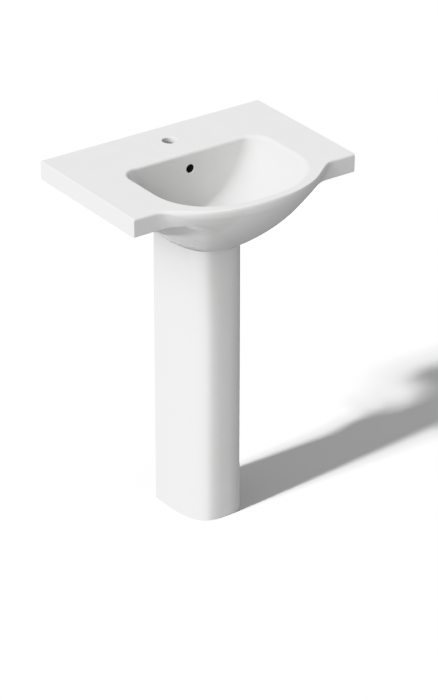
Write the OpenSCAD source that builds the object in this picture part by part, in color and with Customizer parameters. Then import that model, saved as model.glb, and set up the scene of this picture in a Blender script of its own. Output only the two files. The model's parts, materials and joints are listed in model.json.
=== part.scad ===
// Pedestal sink: a china basin with a bowed front on a hollow china pedestal,
// with its press-top drain, trap and wall fixings. Millimetres, +Z up.
// The origin is on the floor at the middle of the footprint, under the drain.
// +X is to the right as the user faces the wall, and +Y points at the wall.

/* [Basin] */
// Width of the deck along the wall
basin_w = 610; // [590:5:630]
// Depth of the straight side wings, from the wall
wing_d = 380; // [370:5:390]
// Depth from the wall to the front of the bow
basin_d = 475; // [470:1:480]
// Height of the deck above the floor
total_h = 900; // [860:5:940]
// Height of the apron round the deck
apron_h = 46; // [44:1:50]
// Thickness of the fired china walls
china_t = 12; // [11:0.5:13]
// Diameter of the tap hole
tap_hole_d = 35; // [32:1:36]
// Distance of the tap hole from the wall
tap_hole_back = 74; // [70:1:78]

/* [Bowl] */
// Width of the bowl at the deck
bowl_w = 380; // [372:2:384]
// Depth of the bowl at the drain
bowl_depth = 142; // [138:1:146]
// Distance from the wall to the back of the bowl
bowl_back = 156; // [154:1:158]
// Thickness of the rim at the front of the bow
rim_t = 28; // [26:1:30]
// Diameter of the overflow hole
overflow_d = 20; // [18:1:22]

/* [Pedestal] */
// Width of the pedestal
ped_w = 165; // [160:1:170]
// Front-to-back depth of the pedestal
ped_d = 172; // [168:1:176]
// Thickness of the pedestal walls
ped_t = 13; // [12:0.5:14]
// Drop from the deck to the underside that sits on the pedestal
seat_drop = 185; // [183:1:190]
// Thickness of the rubber bearing pads
pad_t = 3; // [2:0.5:4]

/* [Drain] */
// Diameter of the drain flange
flange_d = 64; // [62:1:68]
// Outside diameter of the threaded drain body
drain_d = 42; // [41:0.5:43]
// Travel of the stopper from open to shut
stopper_travel = 9; // [6:0.5:9]

/* [Trap] */
// Outside diameter of the waste tube
tube_d = 31.8; // [31.6:0.1:32]
// Height of the waste outlet above the floor
outlet_h = 520; // [500:5:540]
// Bend radius of the waste tube at its centre
bend_r = 42; // [40:1:44]
// Distance from the wall face to the open end of the trap arm
arm_short = 38; // [34:1:44]

/* [Wall fixings] */
// Distance between the two wall bolts
bolt_spacing = 280; // [270:5:290]
// Drop from the deck to the wall bolts
bolt_drop = 105; // [100:1:110]
// Diameter of the wall bolts
bolt_d = 10; // [8:1:10]
// Length of each wall bolt inside the wall
bolt_in_wall = 55; // [50:1:60]

/* [Hidden] */
$fn = 48;
eps = 0.01;

// Reference planes
wall_y = basin_d - 265;
wing_y = wall_y - wing_d;
front_y = wall_y - basin_d;
half_w = basin_w / 2;
seat_z = total_h - seat_drop;
ped_top = seat_z - pad_t;

// Bowl and belly levels, as drops below the deck
drain_under = bowl_depth + 32;
bowl_a = bowl_w / 2;
bowl_yb = wall_y - bowl_back;
bowl_yf = front_y + rim_t;
bow_a = bowl_a + 38;
bow_ys = -90;
bowl_ys = -80;
drain_seat_r = 34;
belly_back = 96;

bow_n = 2.35;
bowl_n = 2.3;
belly_round = 1.98;
fillet_k = 64;

// Outline of the pedestal, and of the lip that the belly closes down to over it
ped_a = ped_w / 2;
ped_yb = ped_d / 2;
ped_yf = -ped_d / 2;
ped_ys = ped_yb - 22;
ped_n = 2.9;
lip_a = ped_a + 1.5;
lip_yf = ped_yf - 15;
lip_ys = 30;

// Number of steps round a corner, round a front curve and along the deck's front
corner_steps = 7;
front_steps = 36;
deck_steps = 64;

// Drain stack heights
bowl_z = total_h - bowl_depth;
under_z = total_h - drain_under;
drain_r = drain_d / 2;
throat_r = 17.5;
seal_t = 1.5;
flange_t = 3;
flange_z = bowl_z + seal_t;
gasket_t = 12;
friction_t = 2.5;
locknut_t = 12;
drain_bottom = under_z - 60;
bridge_z = bowl_z - 40;
bridge_t = 8;
run_gap = 0.1;
cap_r = 20.5;
cap_z = flange_z + flange_t + stopper_travel - 0.6;

// The latch that the stopper stands in: a sleeve with a spring under the plunger
plunger_r = 4;
latch_z = bridge_z + bridge_t;
latch_h = 31;
latch_floor = latch_z + 3;
spring_h = 20;

// Trap heights, from the outlet down
tube_r = tube_d / 2;
tube_t = 1.3;
socket_t = 3.4;
inlet_top = outlet_h + 20;
bend_z = outlet_h - 95;
outlet_top = outlet_h - 65;
arm_low = outlet_top - 18;
nut_h = 20;
nut_r = 25;
arm_end = wall_y - arm_short;

// Pieces of the wall fixing
bolt_z = total_h - bolt_drop;
plate_low = 140;

function spow(c, p) = sign(c) * pow(abs(c), p);
function clamp01(v) = min(1, max(0, v));
function mix(a, b, w) = a + (b - a) * w;

// The lesser of two depths, rounded where they cross
function smooth_min(a, b, k) =
    let (h = clamp01(0.5 + 0.5 * (b - a) / k)) mix(b, a, h) - k * h * (1 - h);

// A plan outline: round corners at the back, straight sides, and a full curved front
function outline(a, yb, rx, ry, ys, yf, n) = concat(
    [for (i = [0:corner_steps]) let (q = 90 * i / corner_steps)
        [a - rx + rx * cos(q), yb - ry + ry * sin(q)]],
    [for (i = [0:corner_steps]) let (q = 90 + 90 * i / corner_steps)
        [rx - a + rx * cos(q), yb - ry + ry * sin(q)]],
    [for (i = [0:front_steps]) let (q = 180 + 180 * i / front_steps)
        [a * spow(cos(q), 2 / n), ys + (ys - yf) * spow(sin(q), 2 / n)]]);

// The belly's measures at a drop t below the deck: its half width, its front,
// where its front curve starts, and how square that curve is
function belly_a(t) = mix(lip_a, bow_a, 1 - pow(t / seat_drop, 1.6));
function belly_yf(t) = mix(lip_yf, front_y, 1 - pow(t / seat_drop, 1.87));
function belly_ys(t) = mix(lip_ys, bow_ys, 1 - pow(t / seat_drop, 2));
function belly_n(t) = mix(belly_round, bow_n, pow(1 - min(1, 2.8 * t / seat_drop), 2));

function belly_ring(t, inset) =
    let (a = belly_a(t) - inset, yb = belly_back - inset, r = mix(70, 26, t / seat_drop))
    outline(a, yb, r, r, belly_ys(t), belly_yf(t) + inset, belly_n(t));

// The front edge of the deck: the wings' line, swept out round the bow
function deck_front(x, t, inset) =
    let (a = belly_a(t) - inset, b = belly_ys(t) - belly_yf(t) - inset, n = belly_n(t),
        s = clamp01(1 - pow(abs(x) / a, n)))
    smooth_min(wing_y + inset, abs(x) < a ? belly_ys(t) - b * pow(s, 1 / n) : 0, fillet_k);

function deck_ring(t, inset, bow_inset) =
    let (w = half_w - inset, r = 5, y0 = wing_y + inset + r, y1 = wall_y - inset / 2 - r)
    concat(
        [for (q = [0:30:90]) [w - r + r * cos(q), y1 + r * sin(q)]],
        [for (q = [90:30:180]) [r - w + r * cos(q), y1 + r * sin(q)]],
        [for (q = [180:30:240]) [r - w + r * cos(q), y0 + r * sin(q)]],
        [for (i = [0:deck_steps]) let (x = (w - r) * (2 * i / deck_steps - 1))
            [x, deck_front(x, t, inset + bow_inset)]],
        [for (q = [300:30:360]) [w - r + r * cos(q), y0 + r * sin(q)]]);

// The inside of the bowl at a drop t below the deck
function bowl_side(u) = pow(1 - pow(u, 1.7), 0.42);
function bowl_front(u) = sqrt(1 - pow(u, 1.2));
function bowl_rear(u) = pow(1 - pow(u, 2), 0.8);
function bowl_ring(t, flare) =
    let (u = t / bowl_depth, r0 = drain_seat_r,
        a = mix(r0, bowl_a, bowl_side(u)) + flare,
        yb = mix(r0, bowl_yb, bowl_rear(u)) + flare,
        yf = mix(-r0, bowl_yf, bowl_front(u)) - flare,
        ys = mix(0, bowl_ys, 1 - pow(u, 2)),
        r = mix(46, 60, u),
        n = mix(2, bowl_n, bowl_front(u)))
    outline(a, yb, min(r, 0.96 * a), min(r, 0.92 * (yb - ys)), ys, yf, n);

function lift(ring, z) = [for (p = ring) [p[0], p[1], z]];

// A closed solid through rings of equal length, listed from the lowest up
module loft(rings) {
    n = len(rings[0]);
    m = len(rings);
    polyhedron(
        points = [for (ring = rings) each ring],
        faces = concat(
            [[for (i = [0:n - 1]) i], [for (i = [n - 1:-1:0]) (m - 1) * n + i]],
            [for (j = [0:m - 2], i = [0:n - 1])
                let (k = (i + 1) % n) [j * n + i, (j + 1) * n + i, (j + 1) * n + k]],
            [for (j = [0:m - 2], i = [0:n - 1])
                let (k = (i + 1) % n) [j * n + i, (j + 1) * n + k, j * n + k]]),
        convexity = 8);
}

module box(x0, x1, y0, y1, z0, z1) {
    translate([x0, y0, z0]) cube([x1 - x0, y1 - y0, z1 - z0]);
}

module tube(r_out, r_in, z0, z1) {
    translate([0, 0, z0]) difference() {
        cylinder(r = r_out, h = z1 - z0);
        translate([0, 0, -1]) cylinder(r = r_in, h = z1 - z0 + 2);
    }
}

module both_sides() {
    children();
    mirror([1, 0, 0]) children();
}

// ---- Basin ----

module deck_slab() {
    loft([lift(deck_ring(apron_h, 1.5, 2), total_h - apron_h),
        lift(deck_ring(apron_h - 2, 0, 1.5), total_h - apron_h + 2),
        lift(deck_ring(24, 0, 0), total_h - 24),
        lift(deck_ring(0, 0, 0), total_h - 6),
        lift(deck_ring(0, 1.8, 0), total_h - 1.8),
        lift(deck_ring(0, 6, 0), total_h)]);
}

module belly() {
    drops = [185, 182, 177, 170, 160, 148, 134, 118, 100, 82, 64, 52, 42];
    k = seat_drop / 185;
    loft(concat(
        [for (d = drops) lift(belly_ring(d * k, 0), total_h - d * k)],
        [lift(belly_ring(36, 4), total_h - 36), lift(belly_ring(10, 4), total_h - 10)]));
}

module bowl_space() {
    drops = [142, 141, 138.5, 134, 127, 117, 104, 88, 70, 50, 30, 14];
    k = bowl_depth / 142;
    loft(concat(
        [for (d = drops) lift(bowl_ring(d * k, 0), total_h - d * k)],
        [lift(bowl_ring(6, 1), total_h - 6), lift(bowl_ring(2, 3.8), total_h - 2),
            lift(bowl_ring(0, 8), total_h), lift(bowl_ring(0, 9), total_h + 1)]));
}

// The open space under the deck, between the apron, the bowl and the wall plate
module under_deck() {
    deck_t = china_t + 2;
    box(-half_w + china_t, half_w - china_t, wing_y + china_t, wall_y - china_t,
        total_h - apron_h - 1, total_h - deck_t);
}

// The plate that the wall bolts hold, with a rib at each side of the tap
module wall_plate() {
    plate_w = bolt_spacing + 80;
    box(-plate_w / 2, plate_w / 2, wall_y - china_t, wall_y,
        total_h - plate_low, total_h - china_t);
    both_sides() box(62, 62 + china_t, belly_back - 20, wall_y - china_t + 1,
        total_h - 110, total_h - china_t);
}

// The overflow runs down behind the bowl and forward into the drain hole
module overflow_duct() {
    duct_w = 44;
    top = total_h - 26;
    low = bowl_z - 20;
    box(-duct_w / 2, duct_w / 2, belly_back - 24, belly_back - 12, low, top);
    box(-duct_w / 2, duct_w / 2, 10, belly_back - 12, low, low + 11);
}

module china_body() {
    difference() {
        union() {
            difference() {
                deck_slab();
                under_deck();
            }
            belly();
            wall_plate();
        }
        bowl_space();
        // Recess round the drain, inside the pedestal
        translate([0, 0, seat_z - 1]) cylinder(r = 46, h = under_z - seat_z + 1);
    }
}

module basin() {
    hole_z = total_h - 41;
    color("white") difference() {
        resize([basin_w, 0, 0]) china_body();
        overflow_duct();
        translate([0, wall_y - tap_hole_back, total_h - 40])
            cylinder(d = tap_hole_d, h = 60);
        translate([0, 0, under_z - 1]) cylinder(r = drain_r + 1.5, h = 60);
        translate([0, bowl_yb - 30, hole_z]) rotate([-90, 0, 0])
            cylinder(d = overflow_d, h = 54);
        both_sides() translate([bolt_spacing / 2, wall_y - 30, bolt_z])
            rotate([-90, 0, 0]) cylinder(d = bolt_d + 6, h = 50);
    }
}

// ---- Pedestal ----

module pedestal_plan() {
    polygon(outline(ped_a, ped_yb, 3, 3, ped_ys, ped_yf, ped_n));
}

module pedestal_hollow() {
    t = ped_t;
    polygon(outline(ped_a - t, ped_yb - t, 6, 6, ped_ys - 2, ped_yf + t, ped_n));
}

module pedestal() {
    lip = 24;
    lug_x = 24;
    lug_t = 18;
    tie_h = 56;
    color("white") difference() {
        union() {
            linear_extrude(ped_top) difference() {
                pedestal_plan();
                pedestal_hollow();
            }
            // Foot lugs that take the floor screws
            both_sides() box(ped_a - ped_t - lug_x, ped_a - ped_t + 2, 10, 52, 0, lug_t);
        }
        box(-ped_a + lip, ped_a - lip, ped_yb - ped_t - 5, ped_yb + 5, tie_h, ped_top + 1);
        both_sides() translate([ped_a - ped_t - lug_x / 2, 31, -1])
            cylinder(d = 10, h = lug_t + 2);
    }
}

module bearing_pads() {
    long = 30;
    wide = 9;
    color("dimgray") {
        both_sides() box(ped_a - 2 - wide, ped_a - 2, 20, 20 + long, ped_top, seat_z);
        both_sides() box(6, 6 + long * 0.8, ped_yf + 4, ped_yf + 4 + wide, ped_top, seat_z);
    }
}

// ---- Drain ----

module drain_profile() {
    r = flange_d / 2;
    z = flange_z;
    polygon([[throat_r, drain_bottom], [drain_r, drain_bottom], [drain_r, z],
        [r - 1, z], [r, z + 0.8], [r - 0.8, z + 1.8], [r - 4, z + flange_t - 0.4],
        [r - 7, z + flange_t], [throat_r + 4, z + flange_t - 0.4],
        [throat_r + 1.5, z + 1.4], [throat_r, z - 1]]);
}

module drain_body() {
    boss_r = 7.5;
    rib_t = 3;
    color("silver") difference() {
        union() {
            rotate_extrude() drain_profile();
            // Bridge that carries the latch
            translate([0, 0, bridge_z]) {
                cylinder(r = boss_r, h = bridge_t);
                for (q = [45, 135]) rotate([0, 0, q])
                    box(-throat_r - 1, throat_r + 1, -rib_t / 2, rib_t / 2, 1, bridge_t - 1);
            }
        }
        // Overflow windows, level with the duct in the china
        for (q = [0, 90]) rotate([0, 0, q])
            box(-drain_r - 1, drain_r + 1, -7, 7, bowl_z - 21, bowl_z - 9);
        translate([0, 0, bridge_z - 1]) cylinder(r = 3, h = bridge_t + 2);
    }
}

module flange_seal() {
    color("black") tube(flange_d / 2 - 2, drain_r + 1, bowl_z, flange_z);
}

module tapered_gasket() {
    color("black") rotate_extrude() polygon([
        [drain_r + run_gap, under_z - gasket_t], [35, under_z - gasket_t],
        [35, under_z - gasket_t + 4], [29, under_z], [drain_r + run_gap, under_z]]);
}

module friction_washer() {
    color("whitesmoke") tube(35, drain_r + run_gap,
        under_z - gasket_t - friction_t, under_z - gasket_t);
}

module drain_locknut() {
    top = under_z - gasket_t - friction_t;
    color("goldenrod") difference() {
        translate([0, 0, top - locknut_t]) union() {
            cylinder(r = 30, h = locknut_t, $fn = 8);
            translate([0, 0, locknut_t - 3]) cylinder(r = 32, h = 3);
        }
        translate([0, 0, top - locknut_t - 1]) cylinder(r = drain_r + run_gap, h = locknut_t + 2);
    }
}

module tailpiece() {
    collar = 6;
    color("silver") difference() {
        union() {
            translate([0, 0, inlet_top - 30])
                cylinder(r = tube_r, h = drain_bottom - inlet_top + 30);
            translate([0, 0, drain_bottom - collar]) cylinder(r = drain_r, h = collar);
            translate([0, 0, drain_bottom - eps]) cylinder(r = throat_r - run_gap, h = 18);
        }
        translate([0, 0, inlet_top - 31])
            cylinder(r = tube_r - tube_t, h = drain_bottom + 60 - inlet_top);
    }
}

module stopper_cap() {
    crown = 3.2;
    color("silver") rotate_extrude() polygon(concat(
        [[0, cap_z], [cap_r - 0.6, cap_z], [cap_r, cap_z + 0.6], [cap_r, cap_z + 1.6]],
        [for (q = [15:15:90]) [cap_r * cos(q), cap_z + 1.6 + crown * sin(q)]]));
}

module stopper_seal() {
    color("black") tube(throat_r - 0.6, plunger_r + run_gap, cap_z - 2.5, cap_z);
}

module stopper_plunger() {
    low = latch_floor + spring_h;
    color("goldenrod") translate([0, 0, low]) cylinder(r = plunger_r, h = cap_z - low);
}

module latch_cartridge() {
    color("goldenrod") difference() {
        union() {
            translate([0, 0, latch_z]) cylinder(r = 7, h = latch_h);
            translate([0, 0, latch_z]) cylinder(r = 9, h = 3, $fn = 6);
        }
        translate([0, 0, latch_floor]) cylinder(r = plunger_r + run_gap, h = latch_h);
        translate([0, 0, latch_z - 1]) cylinder(r = 3, h = 5);
    }
}

// A coil spring between the latch's floor and the plunger
module latch_spring() {
    turns = 7;
    steps = 12;
    sides = 6;
    wire = 0.4;
    coil_r = 3.2;
    rise = (spring_h - 2 * wire - 0.2) / (turns * steps);
    color("gray") loft_path([for (i = [0:turns * steps])
        let (q = 360 * i / steps, z = latch_floor + 0.1 + wire + rise * i)
        [for (k = [0:sides - 1]) let (s = 360 * k / sides, r = coil_r + wire * cos(s))
            [r * cos(q), r * sin(q), z + wire * sin(s)]]]);
}

// A closed sweep through equal rings that follow a path
module loft_path(rings) {
    n = len(rings[0]);
    m = len(rings);
    polyhedron(
        points = [for (ring = rings) each ring],
        faces = concat(
            [[for (i = [n - 1:-1:0]) i], [for (i = [0:n - 1]) (m - 1) * n + i]],
            [for (j = [0:m - 2], i = [0:n - 1])
                let (k = (i + 1) % n) [j * n + i, (j + 1) * n + k, (j + 1) * n + i]],
            [for (j = [0:m - 2], i = [0:n - 1])
                let (k = (i + 1) % n) [j * n + i, j * n + k, (j + 1) * n + k]]),
        convexity = 6);
}

module cartridge_screw() {
    color("silver") {
        translate([0, 0, bridge_z - 4]) cylinder(r = 5.5, h = 4);
        translate([0, 0, bridge_z - eps]) cylinder(r = 2.9, h = bridge_t + 2.5);
    }
}

// ---- Trap ----

// A ribbed union nut round the Z axis, open below for a socket and above for a tube
module slip_nut(z) {
    lugs = 8;
    color("silver") difference() {
        union() {
            translate([0, 0, z]) cylinder(r = nut_r - 1.5, h = nut_h);
            for (i = [0:lugs - 1]) rotate([0, 0, 360 * i / lugs])
                translate([nut_r - 3, -3, z + 2]) cube([3, 6, nut_h - 5]);
        }
        translate([0, 0, z - 1]) cylinder(r = tube_r + socket_t + run_gap, h = nut_h - 2);
        translate([0, 0, z - 1]) cylinder(r = tube_r + run_gap, h = nut_h + 2);
    }
}

// The soft ring that the nut squeezes between the tube and the socket
module slip_washer(z) {
    color("black") translate([0, 0, z]) difference() {
        cylinder(r = tube_r + socket_t - 0.2, h = 4);
        translate([0, 0, -1]) cylinder(r = tube_r + run_gap, h = 6);
    }
}

// A quarter or half of a hollow ring of tube, its centre bend_r from the origin
module bend(angle, r_out, r_in) {
    rotate([90, 0, 90]) rotate_extrude(angle = angle) translate([bend_r, 0])
        difference() {
            circle(r = r_out);
            circle(r = r_in);
        }
}

module trap_inlet_nut() slip_nut(inlet_top - nut_h + 7);

module trap_inlet_washer() slip_washer(inlet_top);

module trap_outlet_nut() translate([0, 2 * bend_r, 0]) slip_nut(outlet_top - nut_h + 7);

module trap_outlet_washer() translate([0, 2 * bend_r, 0]) slip_washer(outlet_top);

module trap_bend() {
    r_in = tube_r - tube_t;
    depth = 34;
    low = bend_z - bend_r - tube_r;
    color("silver") difference() {
        union() {
            translate([0, bend_r, bend_z]) rotate([180, 0, 0]) bend(180, tube_r, 0.5);
            translate([0, 0, bend_z]) cylinder(r = tube_r, h = inlet_top - depth - bend_z);
            translate([0, 0, inlet_top - depth]) cylinder(r = tube_r + socket_t, h = depth);
            translate([0, 2 * bend_r, bend_z]) cylinder(r = tube_r + socket_t, h = outlet_top - bend_z);
            translate([0, bend_r, low - 6]) cylinder(r = 12, h = 16);
        }
        translate([0, bend_r, bend_z]) rotate([180, 0, 0]) bend(180, r_in, 0.4);
        translate([0, 0, bend_z - eps]) cylinder(r = r_in, h = inlet_top - bend_z);
        translate([0, 0, inlet_top - depth + 3]) cylinder(r = tube_r + run_gap, h = depth);
        translate([0, 2 * bend_r, bend_z - eps]) cylinder(r = r_in, h = outlet_top);
        translate([0, 2 * bend_r, arm_low - 2]) cylinder(r = tube_r + run_gap, h = 40);
        translate([0, bend_r, low - 7]) cylinder(r = 8, h = 20);
    }
}

module trap_arm() {
    r_in = tube_r - tube_t;
    rise = outlet_h - bend_r - arm_low;
    color("silver") {
        translate([0, 2 * bend_r, 0]) tube(tube_r, r_in, arm_low, arm_low + rise);
        translate([0, 3 * bend_r, outlet_h - bend_r]) mirror([0, 1, 0])
            bend(90, tube_r, r_in);
        translate([0, 3 * bend_r, outlet_h]) rotate([-90, 0, 0])
            tube(tube_r, r_in, 0, arm_end - 3 * bend_r);
    }
}

module cleanout_plug() {
    low = bend_z - bend_r - tube_r - 6;
    color("silver") {
        translate([0, bend_r, low - 2 - 5]) cylinder(r = 11, h = 5, $fn = 6);
        translate([0, bend_r, low - 2 - eps]) cylinder(r = 7.9, h = 8);
    }
}

module cleanout_washer() {
    low = bend_z - bend_r - tube_r - 6;
    color("black") translate([0, bend_r, 0]) tube(11.5, 8, low - 2, low);
}

// ---- Wall fixings ----

// Lays a piece along a wall bolt, its own Z pointing into the room
module on_bolts(y) {
    both_sides() translate([bolt_spacing / 2, y, bolt_z]) rotate([90, 0, 0]) children();
}

// A hanger bolt, slimmer where its coarse thread goes into the wall
module wall_bolts() {
    proud = 32;
    color("silver") on_bolts(wall_y + bolt_in_wall) {
        cylinder(r = bolt_d / 2 - 0.3, h = bolt_in_wall + eps);
        translate([0, 0, bolt_in_wall]) cylinder(d = bolt_d, h = china_t + proud);
    }
}

module cushion_washers() {
    color("black") on_bolts(wall_y - china_t) difference() {
        cylinder(r = 17, h = 4);
        translate([0, 0, -1]) cylinder(r = bolt_d / 2 + run_gap, h = 6);
    }
}

module steel_washers() {
    color("silver") on_bolts(wall_y - china_t - 4) difference() {
        cylinder(r = 15, h = 2);
        translate([0, 0, -1]) cylinder(r = bolt_d / 2 + run_gap, h = 4);
    }
}

module wall_nuts() {
    color("silver") on_bolts(wall_y - china_t - 6) difference() {
        cylinder(r = 9.8, h = 8, $fn = 6);
        translate([0, 0, -1]) cylinder(r = bolt_d / 2 + run_gap, h = 10);
    }
}

basin();
pedestal();
bearing_pads();
drain_body();
flange_seal();
tapered_gasket();
friction_washer();
drain_locknut();
tailpiece();
stopper_cap();
stopper_seal();
stopper_plunger();
latch_cartridge();
latch_spring();
cartridge_screw();
trap_inlet_nut();
trap_inlet_washer();
trap_bend();
trap_outlet_nut();
trap_outlet_washer();
trap_arm();
cleanout_plug();
cleanout_washer();
wall_bolts();
cushion_washers();
steel_washers();
wall_nuts();
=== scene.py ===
import json
import math

import bmesh
import bpy
import numpy as np
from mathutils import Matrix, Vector


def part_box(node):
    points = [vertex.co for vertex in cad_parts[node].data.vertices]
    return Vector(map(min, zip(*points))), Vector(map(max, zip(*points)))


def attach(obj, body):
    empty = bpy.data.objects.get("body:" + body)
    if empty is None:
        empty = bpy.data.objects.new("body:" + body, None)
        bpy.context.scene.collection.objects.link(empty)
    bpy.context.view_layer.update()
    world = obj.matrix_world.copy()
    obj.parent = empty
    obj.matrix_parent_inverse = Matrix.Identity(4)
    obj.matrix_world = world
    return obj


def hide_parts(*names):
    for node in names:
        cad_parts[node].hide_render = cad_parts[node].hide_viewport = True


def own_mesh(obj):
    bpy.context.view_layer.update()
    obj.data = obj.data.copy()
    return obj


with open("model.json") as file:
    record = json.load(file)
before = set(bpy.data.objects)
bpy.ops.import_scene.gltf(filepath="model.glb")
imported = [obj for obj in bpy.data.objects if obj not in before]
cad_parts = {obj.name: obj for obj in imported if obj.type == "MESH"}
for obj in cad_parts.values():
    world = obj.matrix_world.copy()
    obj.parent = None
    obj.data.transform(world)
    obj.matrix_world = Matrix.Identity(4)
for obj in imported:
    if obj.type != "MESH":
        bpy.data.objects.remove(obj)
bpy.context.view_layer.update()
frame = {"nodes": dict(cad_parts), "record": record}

# Shapes are worked out in millimetres, in the CAD's own frame, and become metres in add_mesh.
MM = 0.001


def box_mm(node):
    low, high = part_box(node)
    return np.array(low) / MM, np.array(high) / MM


basin_low, basin_high = box_mm("basin")
ped_low, ped_high = box_mm("pedestal")
top_z, seat_z = basin_high[2], basin_low[2]
wall_y, front_y = basin_high[1], basin_low[1]
half_w = basin_high[0]
seat_drop = top_z - seat_z

# -------- camera and light

CAMERA_AIM = Vector((0.0405, -0.0042, 0.402))
CAMERA_AZIMUTH, CAMERA_ELEVATION = -35.15, 27.78
CAMERA_DISTANCE, CAMERA_LENS = 7.5, 164.2
# Each lamp has an azimuth, an elevation, an angular size and a strength.
FLOOR_SUN = (183.0, 39.5, 6.0, 8.2)
KEY = (176.0, 40.0, 40.0, 3.1)
FILL = (215.0, 0.0, 90.0, 1.22)
WORLD_ABOVE, WORLD_BELOW = 0.42, 0.36
RANGE = ("From Min", "From Max", "To Min", "To Max")


def direction(azimuth, elevation):
    """The unit vector towards that compass angle, from +X, and height."""
    a, e = math.radians(azimuth), math.radians(elevation)
    return Vector((math.cos(a) * math.cos(e), math.sin(a) * math.cos(e), math.sin(e)))


def add_camera():
    data = bpy.data.cameras.new("camera")
    data.lens = CAMERA_LENS
    data.clip_end = 100
    camera = bpy.data.objects.new("camera", data)
    back = direction(CAMERA_AZIMUTH - 90, CAMERA_ELEVATION)
    camera.location = CAMERA_AIM + back * CAMERA_DISTANCE
    camera.rotation_mode = "QUATERNION"
    camera.rotation_quaternion = (-back).to_track_quat("-Z", "Y")
    bpy.context.scene.collection.objects.link(camera)
    bpy.context.scene.camera = camera


def add_light(name, lamp, floor, on_floor):
    """A sun lamp that lights either the floor alone or everything but the floor."""
    azimuth, elevation, angle, strength = lamp
    data = bpy.data.lights.new(name, "SUN")
    data.energy = strength
    data.angle = math.radians(angle)
    light = bpy.data.objects.new(name, data)
    light.rotation_mode = "QUATERNION"
    light.rotation_quaternion = direction(azimuth, elevation).to_track_quat("Z", "Y")
    bpy.context.scene.collection.objects.link(light)
    lit = bpy.data.collections.new(name + "_lights")
    lit.objects.link(floor)
    light.light_linking.receiver_collection = lit
    lit.collection_objects[0].light_linking.link_state = "INCLUDE" if on_floor else "EXCLUDE"
    return light


def add_world():
    """A plain white surround, dimmer below the horizon."""
    world = bpy.data.worlds.new("studio")
    world.use_nodes = True
    nodes, links = world.node_tree.nodes, world.node_tree.links
    place, split = nodes.new("ShaderNodeTexCoord"), nodes.new("ShaderNodeSeparateXYZ")
    fade = nodes.new("ShaderNodeMapRange")
    for name, value in zip(RANGE, (-0.3, 0.1, WORLD_BELOW, WORLD_ABOVE)):
        fade.inputs[name].default_value = value
    links.new(place.outputs["Generated"], split.inputs["Vector"])
    links.new(split.outputs["Z"], fade.inputs["Value"])
    links.new(fade.outputs["Result"], nodes["Background"].inputs["Strength"])
    nodes["Background"].inputs["Color"].default_value = (1, 1, 1, 1)
    bpy.context.scene.world = world


# Scene brightness and the brightness shown for it. Below the first pair they are equal, and past the
# last one everything up to BRIGHTEST is shown white.
BRIGHTEST = 4
TONES = ((0.4, 0.4), (0.78, 0.78), (0.95, 0.855), (1.15, 0.895), (1.4, 0.945), (1.65, 1.0))

# -------- materials


class Material:
    """A principled material that is built up node by node."""

    def __init__(self, name, **sockets):
        self.material = bpy.data.materials.new(name)
        self.material.use_nodes = True
        self.nodes = self.material.node_tree.nodes
        self.links = self.material.node_tree.links
        self.shader = self.nodes["Principled BSDF"]
        for key, value in sockets.items():
            self.shader.inputs[key.replace("_", " ")].default_value = value
        self.place = self.nodes.new("ShaderNodeTexCoord").outputs["Object"]
        self.normal = None

    def node(self, kind, **values):
        made = self.nodes.new(kind)
        for key, value in values.items():
            setattr(made, key, value)
        return made

    def noise(self, size, detail=2.0, stretch=None):
        """Noise whose blotches are about size metres across."""
        made = self.node("ShaderNodeTexNoise")
        made.inputs["Scale"].default_value = 1 / size
        made.inputs["Detail"].default_value = detail
        place = self.place
        if stretch is not None:
            mapping = self.node("ShaderNodeMapping")
            mapping.inputs["Scale"].default_value = stretch
            self.links.new(place, mapping.inputs["Vector"])
            place = mapping.outputs["Vector"]
        self.links.new(place, made.inputs["Vector"])
        return made.outputs["Fac"]

    def remap(self, value, low, high, to_low, to_high):
        made = self.node("ShaderNodeMapRange")
        for name, number in zip(RANGE, (low, high, to_low, to_high)):
            made.inputs[name].default_value = number
        self.links.new(value, made.inputs["Value"])
        return made.outputs["Result"]

    def mix_colour(self, factor, first, second):
        made = self.node("ShaderNodeMix", data_type="RGBA")
        self.links.new(factor, made.inputs["Factor"])
        for socket, value in ((made.inputs[6], first), (made.inputs[7], second)):
            if isinstance(value, tuple):
                socket.default_value = (*value, 1)
            else:
                self.links.new(value, socket)
        return made.outputs[2]

    def attribute(self, name):
        return self.node("ShaderNodeAttribute", attribute_name=name).outputs["Fac"]

    def set(self, socket, output):
        self.links.new(output, self.shader.inputs[socket])

    def bump(self, height, depth):
        """Adds relief of that depth in metres."""
        made = self.node("ShaderNodeBump")
        made.inputs["Distance"].default_value = depth
        self.links.new(height, made.inputs["Height"])
        if self.normal is not None:
            self.links.new(self.normal, made.inputs["Normal"])
        self.normal = made.outputs["Normal"]
        self.set("Normal", self.normal)


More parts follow.
